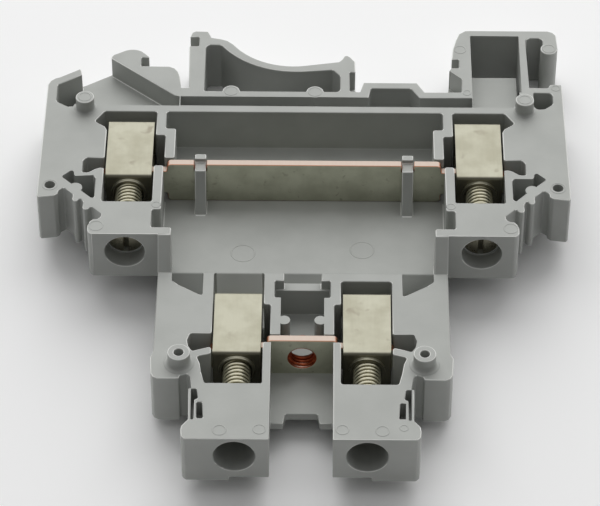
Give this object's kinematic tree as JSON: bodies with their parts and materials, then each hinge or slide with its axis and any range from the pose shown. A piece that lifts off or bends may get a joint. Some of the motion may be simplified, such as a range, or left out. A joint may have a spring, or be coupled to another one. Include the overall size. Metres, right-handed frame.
{
  "type": "double-level terminal block",
  "caption": "Slim rail-mounted terminal block, open on one side, with two tiers of screw clamps on flat current bars, the inner tier set back half a thickness.",
  "frame": {"origin": "middle of the outline, at the plane of the upper tier's closed side", "axes": "+Y runs from the screw fronts to the rail, +Z out of the open side, +X along the rail tier"},
  "size_m": [0.0566, 0.0594, 0.0109],
  "materials": {
    "housing": "moulded mid grey plastic, fine satin",
    "bar": "tinned copper strip, bare copper on the cut edges",
    "cage": "nickel plated steel, matt",
    "screw": "nickel plated steel"
  },
  "bodies": {
    "block": {"housing": "housing", "lower_current_bar": "bar", "upper_current_bar": "bar"},
    "lower_left_screw": {"lower_left_screw": "screw"},
    "lower_left_cage": {"lower_left_cage": "cage"},
    "lower_right_screw": {"lower_right_screw": "screw"},
    "lower_right_cage": {"lower_right_cage": "cage"},
    "upper_left_screw": {"upper_left_screw": "screw"},
    "upper_left_cage": {"upper_left_cage": "cage"},
    "upper_right_screw": {"upper_right_screw": "screw"},
    "upper_right_cage": {"upper_right_cage": "cage"}
  },
  "joints": [
    {"name": "lower_left_screw_turn", "type": "hinge", "parent": "block", "child": "lower_left_screw", "pos_m": [-0.01875, 0.00145, 0.0067], "axis": [0, 1, 0], "range_deg": [0, 2520]},
    {"name": "lower_left_cage_slide", "type": "slide", "parent": "block", "child": "lower_left_cage", "axis": [0, -1, 0], "range_m": [0, 0.0035]},
    {"name": "lower_right_screw_turn", "type": "hinge", "parent": "block", "child": "lower_right_screw", "pos_m": [0.01875, 0.00145, 0.0067], "axis": [0, 1, 0], "range_deg": [0, 2520]},
    {"name": "lower_right_cage_slide", "type": "slide", "parent": "block", "child": "lower_right_cage", "axis": [0, -1, 0], "range_m": [0, 0.0035]},
    {"name": "upper_left_screw_turn", "type": "hinge", "parent": "block", "child": "upper_left_screw", "pos_m": [-0.00668, -0.02205, 0.0036], "axis": [0, 1, 0], "range_deg": [0, 2520]},
    {"name": "upper_left_cage_slide", "type": "slide", "parent": "block", "child": "upper_left_cage", "axis": [0, -1, 0], "range_m": [0, 0.0035]},
    {"name": "upper_right_screw_turn", "type": "hinge", "parent": "block", "child": "upper_right_screw", "pos_m": [0.00668, -0.02205, 0.0036], "axis": [0, 1, 0], "range_deg": [0, 2520]},
    {"name": "upper_right_cage_slide", "type": "slide", "parent": "block", "child": "upper_right_cage", "axis": [0, -1, 0], "range_m": [0, 0.0035]}
  ],
  "couplings": [
    {"joint": "lower_left_screw_turn", "follows": "lower_left_cage_slide", "rad_per_m": 12566},
    {"joint": "lower_right_screw_turn", "follows": "lower_right_cage_slide", "rad_per_m": 12566},
    {"joint": "upper_left_screw_turn", "follows": "upper_left_cage_slide", "rad_per_m": 12566},
    {"joint": "upper_right_screw_turn", "follows": "upper_right_cage_slide", "rad_per_m": 12566}
  ]
}
